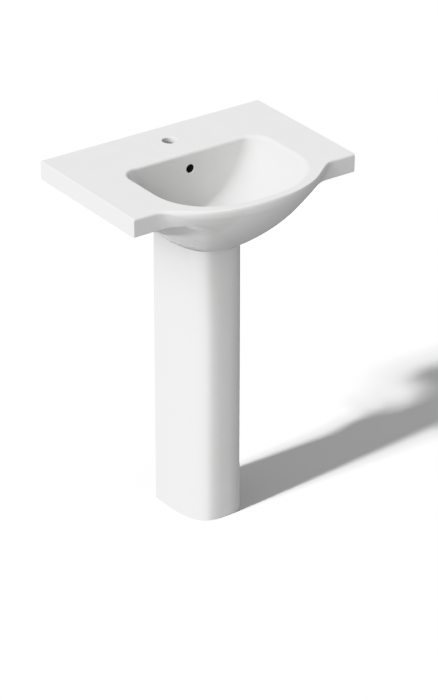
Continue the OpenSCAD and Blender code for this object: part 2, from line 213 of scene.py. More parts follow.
def china_material():
    """White glaze, and bare matt china where there is none."""
    m = Material("china", IOR=1.52)
    clouds = m.remap(m.noise(0.05, 3), 0.35, 0.65, 0, 1)
    glaze = m.mix_colour(clouds, (0.79, 0.79, 0.785), (0.805, 0.805, 0.802))
    speck = m.remap(m.noise(0.0035, 1), 0.78, 0.8, 0, 0.12)
    glaze = m.mix_colour(speck, glaze, (0.6, 0.59, 0.57))
    stains = m.remap(m.noise(0.02, 5), 0.35, 0.65, 0, 1)
    biscuit = m.mix_colour(stains, (0.66, 0.645, 0.61), (0.72, 0.71, 0.68))
    bare = m.attribute("bare")
    # The overflow's bore and duct (the passage attribute) get a near-black colour: painted shade for their
    # dark insides.
    colour = m.mix_colour(m.attribute("passage"), m.mix_colour(bare, glaze, biscuit), (0.03, 0.03, 0.03))
    # Less light is passed on from wall to wall, so that the bowl keeps its shading.
    bounced = m.node("ShaderNodeLightPath").outputs["Is Diffuse Ray"]
    m.set("Base Color", m.mix_colour(bounced, colour, (0.54, 0.54, 0.535)))
    gloss = m.remap(m.noise(0.09, 3), 0.3, 0.7, 0.09, 0.16)
    matt = m.node("ShaderNodeMix", data_type="FLOAT")
    matt.inputs["B"].default_value = 0.8
    m.links.new(bare, matt.inputs["Factor"])
    m.links.new(gloss, matt.inputs["A"])
    m.set("Roughness", matt.outputs["Result"])
    m.bump(m.noise(0.09, 1), 0.0006)
    m.bump(m.noise(0.006, 2), 0.000012)
    return m.material


def metal_material(name, colour, roughness, grain=None, brushed=None):
    m = Material(name, Metallic=1.0)
    dark = tuple(c * 0.93 for c in colour)
    m.set("Base Color", m.mix_colour(m.remap(m.noise(0.02, 4), 0.35, 0.65, 0, 1), colour, dark))
    m.set("Roughness", m.remap(m.noise(0.012, 5), 0.3, 0.7, roughness * 0.75, roughness * 1.35))
    if grain:
        m.bump(m.noise(0.0009, 2), grain)
    if brushed:
        m.bump(m.noise(0.0012, 2, stretch=brushed), 0.00001)
    return m.material


def soft_material(name, colour, light, roughness, grain, depth):
    m = Material(name)
    m.set("Base Color", m.mix_colour(m.remap(m.noise(0.006, 5), 0.4, 0.75, 0, 1), colour, light))
    m.set("Roughness", m.remap(m.noise(0.004, 4), 0.3, 0.7, roughness - 0.08, roughness + 0.08))
    m.bump(m.noise(grain, 3), depth)
    return m.material


def floor_material():
    m = Material("floor", Roughness=0.9, Specular_IOR_Level=0.0)
    m.set("Base Color", m.mix_colour(m.noise(0.8, 3), (0.795, 0.795, 0.795), (0.805, 0.805, 0.805)))
    return m.material


MATERIALS = {
    "china": china_material(),
    "chrome": metal_material("chrome", (0.78, 0.79, 0.8), 0.07),
    "brass": metal_material("brass", (0.75, 0.56, 0.27), 0.24, grain=0.00001),
    "steel": metal_material("steel", (0.6, 0.61, 0.62), 0.3, grain=0.00001, brushed=(1, 12, 1)),
    "rubber": soft_material("rubber", (0.018, 0.018, 0.019), (0.03, 0.03, 0.03), 0.6, 0.0007, 0.00004),
    "nylon": soft_material("nylon", (0.72, 0.71, 0.66), (0.78, 0.77, 0.73), 0.42, 0.002, 0.00002),
}

# -------- mesh building


def add_mesh(name, vertices, faces, slot, sharp=40.0, smooth=True):
    """A mesh object from millimetre points, with its faces' outsides turned out."""
    data = bpy.data.meshes.new(name)
    data.from_pydata((np.asarray(vertices, float) * MM).tolist(), [], faces)
    data.validate()
    piece = bpy.data.objects.new(name, data)
    bpy.context.scene.collection.objects.link(piece)
    finish_mesh(piece, sharp, smooth)
    data.materials.append(MATERIALS[slot])
    return piece


def finish_mesh(piece, sharp=40.0, smooth=True, merge=0.0):
    """Joins points no further apart than merge, turns the faces out and marks the sharp edges."""
    mesh = bmesh.new()
    mesh.from_mesh(piece.data)
    if merge:
        bmesh.ops.remove_doubles(mesh, verts=mesh.verts, dist=merge * MM)
    bmesh.ops.recalc_face_normals(mesh, faces=mesh.faces)
    for edge in mesh.edges:
        edge.smooth = edge.calc_face_angle(0.0) < math.radians(sharp)
    for face in mesh.faces:
        face.smooth = smooth
    mesh.to_mesh(piece.data)
    mesh.free()


def grid_faces(rings, columns, closed_rows=False):
    """Quads of a grid whose columns run round. closed_rows joins the last ring to the first."""
    faces = []
    for i in range(rings if closed_rows else rings - 1):
        a, b = i * columns, (i + 1) % rings * columns
        for j in range(columns):
            k = (j + 1) % columns
            faces.append((a + j, a + k, b + k, b + j))
    return faces


def loft(name, rings, slot, closed_rows=False, caps=True, **options):
    rings = np.asarray(rings, float)
    m, n = rings.shape[:2]
    faces = grid_faces(m, n, closed_rows)
    if caps and not closed_rows:
        faces += [tuple(range(n)), tuple(range((m - 1) * n, m * n))]
    return add_mesh(name, rings.reshape(-1, 3), faces, slot, **options)


def combine(piece, others, operation):
    """Unites other pieces with this one, or cuts them out of it, and removes them."""
    for other in others:
        modifier = piece.modifiers.new("combine", "BOOLEAN")
        modifier.operation = operation
        modifier.solver = "EXACT"
        modifier.object = other
        depsgraph = bpy.context.evaluated_depsgraph_get()
        data = bpy.data.meshes.new_from_object(piece.evaluated_get(depsgraph))
        piece.modifiers.clear()
        old, piece.data = piece.data, data
        data.name = old.name
        bpy.data.meshes.remove(old)
        bpy.data.objects.remove(other)
    return piece


def spread(start, end, count):
    """That many angles in radians, evenly spaced between two in degrees."""
    return np.radians(np.linspace(start, end, count))


def full_turn(count):
    """That many angles in radians, evenly spaced all the way round."""
    return np.arange(count) / count * 2 * math.pi


def arc(centre, radius, start, end, steps):
    angles = spread(start, end, steps + 1)
    return np.stack([centre[0] + radius * np.cos(angles), centre[1] + radius * np.sin(angles)], 1)


def rounded(points, radius, steps=4, closed=True):
    """A polyline with each corner cut back and replaced by a curve. radius may be one per point."""
    points = np.asarray(points, float)
    radii = np.broadcast_to(radius, len(points))
    out = []
    for i, corner in enumerate(points):
        if not closed and i in (0, len(points) - 1) or radii[i] <= 0:
            out.append(corner)
            continue
        before, after = points[i - 1], points[(i + 1) % len(points)]
        reach_a, reach_b = np.linalg.norm(before - corner), np.linalg.norm(after - corner)
        cut = min(radii[i], 0.49 * reach_a, 0.49 * reach_b)
        a, b = corner + (before - corner) * cut / reach_a, corner + (after - corner) * cut / reach_b
        for s in np.linspace(0, 1, steps + 1):
            out.append((1 - s) ** 2 * a + 2 * s * (1 - s) * corner + s**2 * b)
    return np.array(out)


# -------- plan outlines of the china

BOWL_DEPTH = 142
BOWL_HALF = 190
BOWL_BACK = wall_y - 156
BOWL_FRONT = front_y + 28
BOWL_CENTRE = -80
BOWL_POWER = 2.3
BOW_HALF = 228
BOW_CENTRE = -90
BOW_POWER = 2.35
FILLET = 64
EASE = 12  # how widely the turn from the wing into the bow is smoothed
BACK_ROUNDING = 0.6  # the back edge's rounding, as a share of the other edges'
RIM = 8
HOLE_R, UNDER = 22.5, seat_drop - 11
BELLY_POWER = 1.98
BELLY_BACK = 96
LIP_CENTRE = 30
WING_FRONT = wall_y - 380
APRON = 46
DRAIN_SEAT = 34
ped_half, ped_back, ped_front = ped_high[0], ped_high[1], ped_low[1]
lip_half, lip_front = ped_half + 1.5, ped_front - 15


def mix(a, b, share):
    return a + (b - a) * share


def smoothstep(x, low, high):
    s = np.clip((x - low) / (high - low), 0, 1)
    return s * s * (3 - 2 * s)


def dense(points, step=1.5):
    """A closed outline with points no further apart than step."""
    out = []
    for a, b in zip(points, np.roll(points, -1, 0)):
        count = max(1, int(np.ceil(np.linalg.norm(b - a) / step)))
        out.append(a + (b - a) * np.arange(count)[:, None] / count)
    return np.concatenate(out)


def bowed(half, back, radius_x, radius_y, centre, front, power, steps=240):
    """Round corners at the back, straight sides and a full curved front."""
    q = np.linspace(math.pi, 2 * math.pi, steps + 1)
    c, s = np.cos(q), np.sin(q)
    curve = np.stack([half * np.sign(c) * abs(c) ** (2 / power),
                      centre - (centre - front) * abs(s) ** (2 / power)], 1)
    corner = arc((0, 0), 1, 0, 90, 24) * (radius_x, radius_y)
    right = corner + (half - radius_x, back - radius_y)
    left = corner[::-1] * (-1, 1) + (radius_x - half, back - radius_y)
    return dense(np.concatenate([right, left, curve]))


def belly_values(drop):
    u = drop / seat_drop
    return (mix(lip_half, BOW_HALF, 1 - u**1.6), mix(lip_front, front_y, 1 - u**1.87),
            mix(LIP_CENTRE, BOW_CENTRE, 1 - u**2), mix(BELLY_POWER, BOW_POWER, (1 - min(1, 2.8 * u)) ** 2))


def belly_outline(drop, inset=0.0):
    half, front, centre, power = belly_values(drop)
    radius = mix(70, 26, drop / seat_drop)
    return bowed(half - inset, BELLY_BACK - inset, radius, radius, centre, front + inset, power)


def smooth_min(a, b, k):
    h = np.clip(0.5 + 0.5 * (b - a) / k, 0, 1)
    return mix(b, a, h) - k * h * (1 - h)


def ease(values, width):
    """Averages a curve over a bell of that many samples, so that it turns gradually."""
    edge = int(3 * width)
    bell = np.exp(-0.5 * (np.arange(-edge, edge + 1) / width) ** 2)
    return np.convolve(np.pad(values, edge, "edge"), bell / bell.sum(), "valid")


def deck_outline(drop, inset=0.0):
    """The wings' straight edges, swept out round the bow."""
    half, front, centre, power = belly_values(drop)
    half, depth = half - inset, centre - front - inset
    corner = 3.0
    w, back = half_w - inset, wall_y - inset * BACK_ROUNDING
    x = np.linspace(corner - w, w - corner, 500)
    share = np.clip(1 - (abs(x) / half) ** power, 0, 1)
    bow = np.where(abs(x) < half, centre - depth * share ** (1 / power), 0)
    edge = np.stack([x, ease(smooth_min(WING_FRONT + inset, bow, FILLET), EASE / (x[1] - x[0]))], 1)
    low, high = WING_FRONT + inset + corner, back - corner
    return dense(np.concatenate([
        arc((w - corner, high), corner, 0, 90, 8), arc((corner - w, high), corner, 90, 180, 8),
        arc((corner - w, low), corner, 180, 270, 8)[:-1], edge,
        arc((w - corner, low), corner, 270, 360, 8)[1:]]))


def bowl_outline(drop, flare=0.0):
    u = min(drop / BOWL_DEPTH, 1)
    forward = math.sqrt(1 - u**1.2)
    half = mix(DRAIN_SEAT, BOWL_HALF, (1 - u**1.7) ** 0.42) + flare
    back = mix(DRAIN_SEAT, BOWL_BACK, (1 - u**2) ** 0.8) + flare
    front = mix(-DRAIN_SEAT, BOWL_FRONT, forward) - flare
    centre = mix(0, BOWL_CENTRE, 1 - u**2)
    radius = mix(44, 60, u) + flare
    return bowed(half, back, min(radius, 0.96 * half), min(radius, 0.92 * (back - centre)),
                 centre, front, mix(2, BOWL_POWER, forward))


# -------- basin

HUB = np.array([0.0, -30.0])


def column_angles():
    """Angles round the hub of the basin's columns, closer together round its corners."""
    outline = deck_outline(0)
    steps = np.linalg.norm(np.roll(outline, -1, 0) - outline, axis=1)
    travel = np.concatenate([[0], np.cumsum(steps)])
    near = np.zeros(len(outline))
    for sx in (-1, 1):
        for y in (wall_y, WING_FRONT):
            gap = np.linalg.norm(outline - (sx * half_w, y), axis=1)
            near = np.maximum(near, np.exp(-((gap / 9) ** 2)))
    weight = np.concatenate([[0], np.cumsum(steps * (1 + 7 * near))])
    count = 500
    along = np.interp(np.arange(count) / count * weight[-1], weight, travel)
    closed = np.concatenate([outline, outline[:1]])
    x, y = np.interp(along, travel, closed[:, 0]), np.interp(along, travel, closed[:, 1])
    return np.sort(np.arctan2(y - HUB[1], x - HUB[0]))


ANGLES = column_angles()
RAYS = np.stack([np.cos(ANGLES), np.sin(ANGLES)], 1)


def reach(outline, hub=HUB):
    """How far the outline is from the hub along each column's ray."""
    offset = outline - hub
    angle = np.arctan2(offset[:, 1], offset[:, 0])
    order = np.argsort(angle)
    return np.interp(ANGLES, angle[order], np.linalg.norm(offset, axis=1)[order], period=2 * math.pi)


def ring(radius, drop, hub=HUB):
    """The 3-D ring at those distances from the hub and that drop below the deck."""
    flat = hub + RAYS * np.broadcast_to(radius, len(ANGLES))[:, None]
    return np.column_stack([flat, np.broadcast_to(top_z - np.asarray(drop), len(ANGLES))])


class Profile:
    """The belly's and the band's distance from the hub at any drop, which may differ by column."""

    def __init__(self, outline, drops):
        self.drops = np.asarray(drops, float)
        self.table = np.array([reach(outline(d)) for d in self.drops])

    def __call__(self, drop):
        drop = np.broadcast_to(drop, len(ANGLES))
        at = np.clip(np.interp(drop, self.drops, np.arange(len(self.drops))), 0, len(self.drops) - 1.0001)
        low = at.astype(int)
        columns = np.arange(len(ANGLES))
        return mix(self.table[low, columns], self.table[low + 1, columns], at - low)


def bend(before, corner, after, radius, steps=5):
    """The rounding of a corner in every column, as steps + 1 (distance, drop) pairs."""
    lengths = [np.hypot(before[0] - corner[0], before[1] - corner[1]),
               np.hypot(after[0] - corner[0], after[1] - corner[1])]
    cut = [np.minimum(radius, 0.45 * length) / np.maximum(length, 1e-6) for length in lengths]
    start = [mix(c, b, cut[0]) for b, c in zip(before, corner)]
    end = [mix(c, a, cut[1]) for a, c in zip(after, corner)]
    return [tuple((1 - s) ** 2 * p + 2 * s * (1 - s) * c + s * s * q
                  for p, c, q in zip(start, corner, end)) for s in np.linspace(0, 1, steps + 1)]


def under_wing(belly, band):
    """From the belly, round the hollow under the wings, to the band, column by column.
    Round the bow there is no hollow, and the belly runs straight into the band."""
    low_drop, high_drop = 64.0, 38.0
    ledge = band(APRON) - belly(APRON)
    inner = np.minimum(reach(deck_outline(APRON, 12)), band(APRON) - 3)
    room = inner - belly(APRON)
    ceiling = APRON - 32 * smoothstep(room, 1, 34)
    inner = np.maximum(inner, belly(ceiling) + 0.5)
    zero = np.zeros(len(ANGLES))
    corners = [(belly(low_drop), zero + low_drop), (belly(ceiling), ceiling), (inner, ceiling),
               (inner, zero + APRON), (band(APRON), zero + APRON), (band(high_drop), zero + high_drop)]
    path = []
    first_bend = bend((belly(ceiling + 12), ceiling + 12), corners[1], corners[2], 10)
    for s in np.linspace(0, 1, 9)[:-1]:
        drop = mix(low_drop, first_bend[0][1], s)
        path.append((belly(drop), drop))
    path += first_bend
    for i, radius in ((2, 9), (3, 3.5), (4, 3.0)):
        arriving, leaving = path[-1], bend(corners[i - 1], corners[i], corners[i + 1], radius)
        path += [tuple(mix(a, b, s) for a, b in zip(arriving, leaving[0])) for s in (0.33, 0.67)]
        path += leaving
    path.append(corners[5])
    hollow = smoothstep(ledge, 0.5, 16.0)
    rings = []
    for i, (radius, drop) in enumerate(path):
        plain_drop = mix(low_drop, high_drop, i / (len(path) - 1))
        plain = mix(np.maximum(belly(plain_drop), band(plain_drop)), belly(plain_drop),
                    smoothstep(plain_drop, high_drop, low_drop))
        rings.append(ring(mix(plain, radius, hollow), mix(plain_drop, drop, hollow)))
    return rings


def deck_edge(band):
    """The rounding of the deck's edge: tight at the sides, soft in front, and softest on the bow."""
    outline = HUB + RAYS * reach(deck_outline(0))[:, None]
    front = 1 - smoothstep(outline[:, 1], WING_FRONT - 2, WING_FRONT + 12)
    bow = smoothstep(WING_FRONT - outline[:, 1], 2, 40)
    width = 2.8 + 2.2 * front + 2 * bow
    height = 2.8 + 4.2 * front + 15 * bow
    top = Profile(lambda inset: deck_outline(0, inset), np.arange(0, 16, 1.0))
    rings = [ring(band(mix(38, height, s)), mix(38, height, s)) for s in (0.25, 0.5, 0.75)]
    for q in spread(0, 90, 13):
        inset, drop = width * (1 - math.cos(q)), height * (1 - math.sin(q))
        side = band(height) + (top(inset) - top(0))
        rings.append(ring(mix(side, top(inset), math.sin(q)), drop))
    return rings


def basin_rings():
    belly = Profile(belly_outline, np.arange(0, seat_drop + 0.1, 2.5))
    band = Profile(deck_outline, np.arange(0, 71, 2.5))
    drain = np.zeros(2)
    rings = [ring(HOLE_R, BOWL_DEPTH + 4, drain), ring(HOLE_R, UNDER - 2, drain)]
    rings += [ring(r, UNDER, drain) for r in (HOLE_R + 2, 34, 43)]
    rings += [ring(46, UNDER + 3, drain), ring(46, seat_drop - 2, drain), ring(48, seat_drop, drain)]
    lip = reach(belly_outline(seat_drop))
    rings.append(ring(np.maximum(lip - 14, 40), seat_drop))
    for q in spread(0, 80, 6):
        rings.append(ring(belly(seat_drop - 4) - 5 * (1 - math.sin(q)), seat_drop - 4 * (1 - math.cos(q))))
    rings += [ring(belly(d), d) for d in np.arange(seat_drop - 5.5, 66, -3.5)]
    rings += under_wing(belly, band)
    rings += deck_edge(band)
    outer, inner = rings[-1], ring(reach(bowl_outline(0, RIM)), 0)
    rings += [mix(outer, inner, s) for s in (0.08, 0.25, 0.45, 0.65, 0.85, 0.95)]
    for q in spread(0, 84, 9):
        drop = RIM * (1 - math.cos(q))
        rings.append(ring(reach(bowl_outline(drop, RIM * (1 - math.sin(q)))), drop))
    for s in np.linspace(0, 1, 49)[1:]:
        drop = mix(RIM * 0.9, BOWL_DEPTH, math.sin(s * math.pi / 2) ** 0.95)
        share = (drop / BOWL_DEPTH) ** 3
        hub = mix(HUB, drain, share)
        rings.append(ring(reach(bowl_outline(drop), hub), drop, hub))
    rings += [ring(HOLE_R + 4, BOWL_DEPTH + 0.2, drain), ring(HOLE_R + 0.8, BOWL_DEPTH + 0.8, drain)]
    return rings


def round_ring(r, z, angles):
    """The shape of a round ring: the same radius at every angle."""
    return np.full(len(angles), r)


def turned(name, profile, slot="chrome", segments=96, at=(0, 0), shape=round_ring, **options):
    """A piece turned on the vertical axis from a (radius, height) profile, which is closed into a
    ring, or capped where it starts and ends near the axis. shape may change a radius by angle."""
    angles = full_turn(segments)
    profile = np.asarray(profile, float)
    solid = profile[0, 0] < 0.3 or profile[-1, 0] < 0.3
    rings = []
    for r, z in profile:
        radius = shape(r, z, angles)
        rings.append(np.column_stack([at[0] + radius * np.cos(angles), at[1] + radius * np.sin(angles),
                                      np.full(segments, z)]))
    return loft(name, rings, slot, closed_rows=not solid, caps=solid, **options)


def polygonal(sides, radius, top=math.inf, above=round_ring):
    """Cuts the rings below the height top down to a regular polygon with a corner on the X axis. The
    others stay round, or are shaped by above."""
    half = math.pi / sides

    def shape(r, z, angles):
        if z >= top:
            return above(r, z, angles)
        return np.minimum(r, radius * math.cos(half) / np.cos(angles % (2 * half) - half))

    return shape


def thread(radius, low, high, pitch, depth):
    """Cuts a thread into the rings of that radius between two heights."""

    def shape(r, z, angles):
        out = round_ring(r, z, angles)
        if abs(r - radius) > 0.01 or not low <= z <= high:
            return out
        wave = np.abs((z / pitch - angles / (2 * math.pi)) % 1 * 2 - 1)
        ends = min(1, (z - low) / pitch, (high - z) / pitch)
        return out - depth * ends * np.clip(wave * 1.5 - 0.25, 0, 1)

    return shape


def rod(radius, low, high, slot, segments, at=(0, 0)):
    """A plain cylinder to cut a hole with."""
    return turned("rod", [(0.1, low), (radius, low), (radius, high), (0.1, high)], slot, segments, at=at)


def rows(radius, low, high, pitch):
    """Profile points close enough together for a thread of that pitch."""
    count = int(abs(high - low) / pitch * 7) + 1
    return [(radius, z) for z in np.linspace(low, high, count)]


def block(name, low, high, radius, slot="china"):
    """A box with rounded edges, built as rings up its height."""
    (x0, y0, z0), (x1, y1, z1) = low, high
    steps = 4
    edge = [(radius * (1 - math.cos(q)), radius * (1 - math.sin(q)))
            for q in spread(0, 90, steps + 1)]
    levels = [(inset, z0 + up) for up, inset in edge] + [(inset, z1 - up) for inset, up in edge]
    rings = []
    for inset, z in levels:
        r = max(radius - inset, 0.05)
        corners = [((x1 - inset - r, y1 - inset - r), 0), ((x0 + inset + r, y1 - inset - r), 90),
                   ((x0 + inset + r, y0 + inset + r), 180), ((x1 - inset - r, y0 + inset + r), 270)]
        flat = np.concatenate([arc(c, r, start, start + 90, 2 * steps) for c, start in corners])
        rings.append(np.column_stack([flat, np.full(len(flat), z)]))
    return loft(name, rings, slot)


def two_blocks(low, high, radius, slot="china"):
    """A block at the right and its mirror image at the left."""
    (x0, *near), (x1, *far) = low, high
    return [block("left", (-x1, *near), (-x0, *far), radius, slot), block("right", low, high, radius, slot)]


def swept(name, outside, inside, shape=round_ring):
    """A tube in the plane x = 0 from stations of (y, z, heading from +Y towards +Z, radius)."""
    angles = full_turn(96)
    rings = []
    for y, z, heading, r in outside + inside[::-1]:
        h = math.radians(heading)
        radius = shape(r, z, angles)
        across = radius * np.cos(angles)
        rings.append(np.column_stack([radius * np.sin(angles), y - across * math.sin(h),
                                      z + across * math.cos(h)]))
    return loft(name, rings, "chrome", closed_rows=True)


def move_points(piece, change):
    points = np.empty(len(piece.data.vertices) * 3)
    piece.data.vertices.foreach_get("co", points)
    piece.data.vertices.foreach_set("co", change(points.reshape(-1, 3)).ravel())
    piece.data.update()
    return piece


def turn_to_wall(piece, centre):
    """Lays a piece made upright on its axis down so that its top faces away from the wall."""
    shift = np.array(centre) * MM
    return move_points(piece, lambda p: np.column_stack([p[:, 0], -p[:, 2], p[:, 1]]) + shift)


def spin(piece, degrees):
    a = math.radians(degrees)
    return move_points(piece, lambda p: np.column_stack([
        p[:, 0] * math.cos(a) - p[:, 1] * math.sin(a),
        p[:, 0] * math.sin(a) + p[:, 1] * math.cos(a), p[:, 2]]))


def even_normals(piece):
    """Lets large flat faces keep their own direction where they meet small round ones."""
    modifier = piece.modifiers.new("normals", "WEIGHTED_NORMAL")
    modifier.keep_sharp = True
    depsgraph = bpy.context.evaluated_depsgraph_get()
    data = bpy.data.meshes.new_from_object(piece.evaluated_get(depsgraph), preserve_all_data_layers=True,
                                           depsgraph=depsgraph)
    piece.modifiers.clear()
    piece.data = data
    return piece


def paint(piece, name, share):
    """Stores 1 at each vertex where share is true of its place, and 0 elsewhere."""
    places = np.empty(len(piece.data.vertices) * 3)
    piece.data.vertices.foreach_get("co", places)
    values = share(places.reshape(-1, 3) / MM).astype(float)
    piece.data.attributes.new(name, "FLOAT", "POINT").data.foreach_set("value", values)


def put(piece, node, body="sink"):
    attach(piece, body)
    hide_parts(node)
    return piece


def on_both_sides(name, make):
    """One object made of a piece built at the right and another built at the left."""
    return combine(make(name, 1), [make(name + "_left", -1)], "UNION")


# -------- china

BOLT_X, BOLT_Z = 140, top_z - 105
PLATE_T, CUSHION_T, WASHER_T = 12, 4, 2
TAP_R, TAP_Y = 17.5, wall_y - 74
OVERFLOW_R, OVERFLOW_Z = 10, top_z - 41
DECK_UNDER = top_z - 11
DUCT_HALF, DUCT_TOP, DUCT_LOW = 22, top_z - 26, top_z - 162


def flared_cutter(name, radius, flare, face, low, high):
    """A cutter for a hole whose edge at the height face is rounded over outwards."""
    profile = [(0.1, low), (radius, low)]
    for q in spread(0, 80, 8):
        profile.append((radius + flare * (1 - math.cos(q)), face - flare * (1 - math.sin(q))))
    profile += [(radius + flare, high), (0.1, high)]
    return turned(name, profile, "china", 64)


def duct(name):
    """The overflow's passage down behind the bowl and forwards to the drain."""
    down = block(name, (-DUCT_HALF, BELLY_BACK - 24, DUCT_LOW), (DUCT_HALF, BELLY_BACK - 12, DUCT_TOP), 4)
    forward = block(name + "_low", (-DUCT_HALF, 10, DUCT_LOW), (DUCT_HALF, BELLY_BACK - 13, DUCT_LOW + 11), 4)
    return combine(down, [forward], "UNION")


def bare_basin(place):
    """The hollow under the deck, the wall plate, the back and the seat are left unglazed."""
    y, z = place[:, 1], place[:, 2]
    flat = place[:, :2] - HUB
    turn, distance = np.arctan2(flat[:, 1], flat[:, 0]), np.hypot(*flat.T)
    inside = distance < np.interp(turn, ANGLES, reach(deck_outline(APRON, 9)), period=2 * math.pi)
    outside = distance > np.interp(turn, ANGLES, reach(bowl_outline(0, 16)), period=2 * math.pi)
    hollow = inside & outside & (z > top_z - APRON + 2) & (z < DECK_UNDER)
    fixing = (y > BELLY_BACK + 1) & (z < top_z - APRON - 1)
    return hollow | fixing | (y > wall_y - 0.6) | (z < seat_z + 0.5)


def passage_painted_dark(place):
    """The overflow's bore behind the bowl's wall, and its duct, which are painted near black as painted
    shade.
    """
    x, y, z = place.T
    bore = (np.hypot(x, z - OVERFLOW_Z) < OVERFLOW_R + 0.4) & (y > BOWL_BACK - 1) & (y < BELLY_BACK)
    down = (abs(y - BELLY_BACK + 18) < 6.1) & (z < DUCT_TOP + 1) & (z > DUCT_LOW - 1)
    forward = (y > 24) & (y < BELLY_BACK - 11) & (abs(z - DUCT_LOW - 5.5) < 5.6)
    return bore | (abs(x) < DUCT_HALF + 0.1) & (down | forward)


def make_basin():
    basin = loft("basin_china", basin_rings(), "china", closed_rows=True)
    plate = block("plate", (-180, wall_y - PLATE_T, top_z - 140), (180, wall_y - 0.2, DECK_UNDER), 4)
    ribs = two_blocks((62, BELLY_BACK - 20, top_z - 110), (74, wall_y - 10, DECK_UNDER), 4)
    tap = flared_cutter("tap", TAP_R, 2.2, top_z, top_z - 40, top_z + 5)
    move_points(tap, lambda p: p + np.array([0, TAP_Y, 0]) * MM)
    overflow = flared_cutter("overflow", OVERFLOW_R, 2.6, 0, -26, 20)
    turn_to_wall(overflow, (0, BOWL_BACK - 1.6, OVERFLOW_Z))
    bolts = [turn_to_wall(rod(8, -6, 22, "china", 48), (BOLT_X * s, wall_y, BOLT_Z)) for s in (-1, 1)]
    combine(basin, [plate] + ribs, "UNION")
    combine(basin, [duct("duct"), tap, overflow] + bolts, "DIFFERENCE")
    finish_mesh(basin, 38, merge=0.02)
    basin = even_normals(basin)
    paint(basin, "bare", bare_basin)
    # Marks the overflow's bore and duct for their near-black painted shade.
    paint(basin, "passage", passage_painted_dark)
    return basin


PED_WALL, PED_STRAIGHT, PED_POWER = 13, 22, 2.9


def bare_pedestal(place):
    """The pedestal's inside, its foot and its top are left unglazed."""
    x, y, z = place.T
    inner = (abs(x) < ped_half - PED_WALL + 0.5) & (y < ped_back - PED_WALL + 0.5)
    front = np.maximum(0, 1 - abs(x / (ped_half - PED_WALL)) ** PED_POWER) ** (1 / PED_POWER)
    straight = ped_back - PED_STRAIGHT
    inner &= y > straight - (straight - ped_front - PED_WALL) * front - 0.5
    return inner | (z < 0.3) | (z > ped_high[2] - 0.3)


def make_pedestal():
    angles = np.concatenate([np.linspace(0, 2 * math.pi, 241)[:-1]] + [
        math.atan2(ped_back, s * ped_half) + np.linspace(-0.06, 0.06, 17) for s in (-1, 1)])
    angles = np.unique(np.round(angles % (2 * math.pi), 5))
    rays = np.stack([np.cos(angles), np.sin(angles)], 1)

    def ring_at(inset, z, corner=3):
        outline = bowed(ped_half - inset, ped_back - inset, corner, corner, ped_back - PED_STRAIGHT,
                        ped_front + inset, PED_POWER)
        turn = np.arctan2(outline[:, 1], outline[:, 0])
        order = np.argsort(turn)
        r = np.interp(angles, turn[order], np.linalg.norm(outline, axis=1)[order], period=2 * math.pi)
        return np.column_stack([rays * r[:, None], np.full(len(angles), z)])

    top = ped_high[2]
    quarter = spread(0, 90, 6)
    rings = [ring_at(2 * (1 - math.sin(q)), 2 * (1 - math.cos(q))) for q in quarter]
    rings += [ring_at(0, z) for z in np.linspace(20, top - 20, 12)]
    rings += [ring_at(3 * (1 - math.cos(q)), top - 3 * (1 - math.sin(q))) for q in quarter]
    rings += [ring_at(PED_WALL - 2 * math.sin(q), top - 2 * (1 - math.cos(q)), 6) for q in quarter[::-1]]
    rings += [ring_at(PED_WALL, z, 6) for z in np.linspace(top - 20, 20, 12)]
    rings += [ring_at(PED_WALL - 2 * (1 - math.cos(q)), 2 * (1 - math.sin(q)), 6) for q in quarter]
    pedestal = loft("pedestal_china", rings, "china", closed_rows=True)
    combine(pedestal, two_blocks((45.5, 10, 0.15), (71.5, 52, 18), 3), "UNION")
    cutters = [block("opening", (-58.5, 60, 56), (58.5, 98, top + 20), 9)]
    cutters += [turned("hole", [(0.1, -3), (5, -3), (5, 17), (6.2, 18.5), (6.2, 25), (0.1, 25)], "china", 40,
                       at=(57.5 * s, 31)) for s in (-1, 1)]
    combine(pedestal, cutters, "DIFFERENCE")
    finish_mesh(pedestal, 38, merge=0.02)
    pedestal = even_normals(pedestal)
    paint(pedestal, "bare", bare_pedestal)
    return pedestal


def make_pads():
    low, high = ped_high[2], seat_z
    boxes = two_blocks((71.5, 20, low), (80.5, 50, high), 1.2, "rubber")
    boxes += two_blocks((6, ped_front + 4, low), (30, ped_front + 13, high), 1.2, "rubber")
    boxes[0].name = "bearing_pads_rubber"
    return combine(boxes[0], boxes[1:], "UNION")


# -------- drain and stopper

BOWL_Z = top_z - BOWL_DEPTH
UNDER_Z = seat_z + 11
DRAIN_R, THROAT_R, FLANGE_R = 21, 17.5, 32
FLANGE_Z, DRAIN_BOTTOM, BRIDGE_Z = BOWL_Z + 1.5, UNDER_Z - 60, BOWL_Z - 40
CAP_Z = box_mm("stopper_cap")[0][2]
LATCH_Z, LATCH_FLOOR = BRIDGE_Z + 8, BRIDGE_Z + 11
PITCH = 2.31


